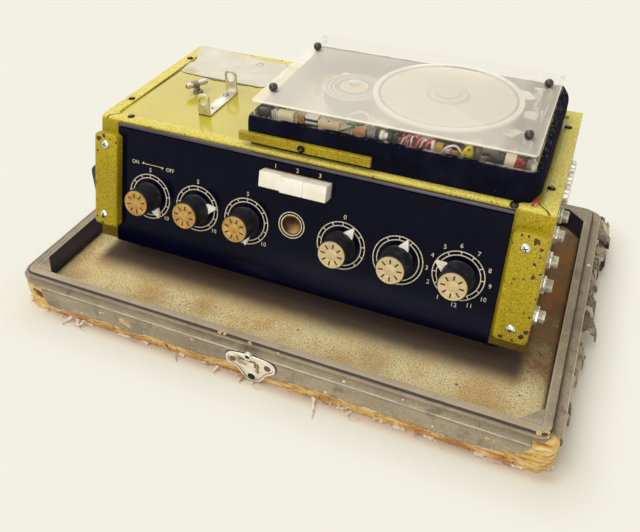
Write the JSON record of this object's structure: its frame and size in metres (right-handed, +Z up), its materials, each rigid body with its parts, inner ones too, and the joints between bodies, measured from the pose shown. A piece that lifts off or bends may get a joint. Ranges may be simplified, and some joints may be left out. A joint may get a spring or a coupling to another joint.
{
  "type": "drum echo unit",
  "caption": "Drum echo unit with a leaning dial panel, latching buttons and a clear cover over its rotor, standing in the lower tray of its carrying case.",
  "frame": {"origin": "centre of the case tray's underside", "axes": "+Z up, front of the unit towards -Y, +X to the right seen from the front"},
  "size_m": [0.46, 0.3055, 0.1887],
  "materials": {
    "plywood": "bare torn plywood",
    "leathercloth": "worn grey-brown leathercloth",
    "tray_cloth": "stained tan woven cloth",
    "rim_wood": "covered wood, black inside",
    "bright_plate": "worn nickel plate",
    "green_paint": "yellow-green hammered paint",
    "bare_steel": "bare steel sheet",
    "foot_rubber": "black rubber",
    "dark_screw": "blackened steel",
    "panel_gloss": "glossy blue-black",
    "moulding": "black moulding",
    "inlet_moulding": "dark moulding",
    "brass_disc": "satin brass",
    "ivory": "ivory moulding",
    "amber_glass": "amber tuning-eye glass",
    "valve_glass": "clear glass",
    "clear_acrylic": "clear acrylic sheet",
    "black_felt": "black felt",
    "deck_paint": "cream paint",
    "alloy": "turned aluminium",
    "magnetic_rim": "magnetic wire rim",
    "tyre_grey": "grey rubber tyre on an alloy hub",
    "bronze": "bronze bush",
    "motor_steel": "grey motor can",
    "iron_core": "laminated core and winding",
    "board_brown": "brown circuit board",
    "head_metal": "head blocks"
  },
  "bodies": {
    "unit": {"case_floor_board": "plywood", "floor_cloth": "tray_cloth", "case_boards": "plywood", "case_rim": "rim_wood", "case_covering": "leathercloth", "catch_plate": "bright_plate", "base_plate": "bare_steel", "rubber_feet": "foot_rubber", "front_frame": "green_paint", "left_side": "green_paint", "right_side": "green_paint", "rear_cover": "green_paint", "top_plate": "green_paint", "cabinet_screws": "dark_screw", "control_panel": "panel_gloss", "end_caps": "green_paint", "end_cap_screws": "bright_plate", "u_bracket": "bare_steel", "earth_post": "bright_plate", "mains_inlet": "inlet_moulding", "jack_sockets": "bright_plate", "din_sockets": "inlet_moulding", "control_pots": "bare_steel", "button_frame": "bare_steel", "magic_eye": "amber_glass", "deck_plate": "deck_paint", "cover_posts": "bare_steel", "drum_bearing": "bronze", "idler_arm": "bare_steel", "motor": "motor_steel", "magnetic_heads": "head_metal", "power_transformer": "iron_core", "amplifier_board": "board_brown", "valves": "valve_glass"},
    "cover": {"clear_cover": "clear_acrylic", "cover_felt": "black_felt", "clamp_bar": "green_paint"},
    "drum": {"echo_drum": "alloy", "drum_band": "magnetic_rim"},
    "idler": {"idler_wheel": "tyre_grey"},
    "pulley": {"motor_pulley": "bronze"},
    "knob1": {"knob_1": "moulding", "knob_cap_1": "brass_disc"},
    "knob2": {"knob_2": "moulding", "knob_cap_2": "brass_disc"},
    "knob3": {"knob_3": "moulding", "knob_cap_3": "brass_disc"},
    "knob4": {"knob_4": "moulding", "knob_cap_4": "brass_disc"},
    "knob5": {"knob_5": "moulding", "knob_cap_5": "brass_disc"},
    "knob6": {"knob_6": "moulding", "knob_cap_6": "brass_disc"},
    "button1": {"push_button_1": "ivory"},
    "button2": {"push_button_2": "ivory"},
    "button3": {"push_button_3": "ivory"},
    "nut1": {"thumb_nut_1": "moulding"},
    "nut2": {"thumb_nut_2": "moulding"},
    "nut3": {"thumb_nut_3": "moulding"},
    "nut4": {"thumb_nut_4": "moulding"}
  },
  "joints": [
    {"name": "knob_1_turn", "type": "hinge", "parent": "unit", "child": "knob1", "pos_m": [-0.1401, -0.06354, 0.08214], "axis": [0, 0.9666, -0.2561], "range_deg": [-295, 5]},
    {"name": "knob_2_turn", "type": "hinge", "parent": "unit", "child": "knob2", "pos_m": [-0.0929, -0.06354, 0.08214], "axis": [0, 0.9666, -0.2561], "range_deg": [-225, 75]},
    {"name": "knob_3_turn", "type": "hinge", "parent": "unit", "child": "knob3", "pos_m": [-0.0459, -0.06354, 0.08214], "axis": [0, 0.9666, -0.2561], "range_deg": [-300, 0]},
    {"name": "knob_4_turn", "type": "hinge", "parent": "unit", "child": "knob4", "pos_m": [0.0385, -0.06354, 0.08214], "axis": [0, 0.9666, -0.2561], "range_deg": [-179, 121]},
    {"name": "knob_5_turn", "type": "hinge", "parent": "unit", "child": "knob5", "pos_m": [0.0858, -0.06354, 0.08214], "axis": [0, 0.9666, -0.2561], "range_deg": [-53, 17]},
    {"name": "knob_6_turn", "type": "hinge", "parent": "unit", "child": "knob6", "pos_m": [0.1335, -0.06354, 0.08214], "axis": [0, 0.9666, -0.2561], "range_deg": [-87, 243]},
    {"name": "button_1_push", "type": "slide", "parent": "unit", "child": "button1", "axis": [0, 0.9666, -0.2561], "range_m": [-0.003, 0.001], "stiffness_N_per_m": 400},
    {"name": "button_2_push", "type": "slide", "parent": "unit", "child": "button2", "axis": [0, 0.9666, -0.2561], "range_m": [0, 0.004], "stiffness_N_per_m": 400, "springref_m": -0.001},
    {"name": "button_3_push", "type": "slide", "parent": "unit", "child": "button3", "axis": [0, 0.9666, -0.2561], "range_m": [0, 0.004], "stiffness_N_per_m": 400, "springref_m": -0.001},
    {"name": "drum_spin", "type": "hinge", "parent": "unit", "child": "drum", "pos_m": [0.0885, 0.043, 0.147], "axis": [0, 0, 1], "continuous": true},
    {"name": "idler_spin", "type": "hinge", "parent": "unit", "child": "idler", "pos_m": [0.00198, 0.05851, 0.148], "axis": [0, 0, 1], "continuous": true},
    {"name": "pulley_spin", "type": "hinge", "parent": "unit", "child": "pulley", "pos_m": [-0.01574, 0.08382, 0.146], "axis": [0, 0, 1], "continuous": true},
    {"name": "cover_lift", "type": "slide", "parent": "unit", "child": "cover", "axis": [0, 0, 1], "range_m": [0, 0.08]},
    {"name": "nut_1_turn", "type": "hinge", "parent": "cover", "child": "nut1", "pos_m": [-0.0395, -0.017, 0.185], "axis": [0, 0, 1], "continuous": true},
    {"name": "nut_2_turn", "type": "hinge", "parent": "cover", "child": "nut2", "pos_m": [-0.0395, 0.074, 0.185], "axis": [0, 0, 1], "continuous": true},
    {"name": "nut_3_turn", "type": "hinge", "parent": "cover", "child": "nut3", "pos_m": [0.1622, 0.077, 0.185], "axis": [0, 0, 1], "continuous": true},
    {"name": "nut_4_turn", "type": "hinge", "parent": "cover", "child": "nut4", "pos_m": [0.1617, -0.0155, 0.185], "axis": [0, 0, 1], "continuous": true}
  ],
  "couplings": [
    {"joint": "idler_spin", "follows": "drum_spin", "ratio": -2.2932},
    {"joint": "pulley_spin", "follows": "drum_spin", "ratio": 15.25}
  ]
}
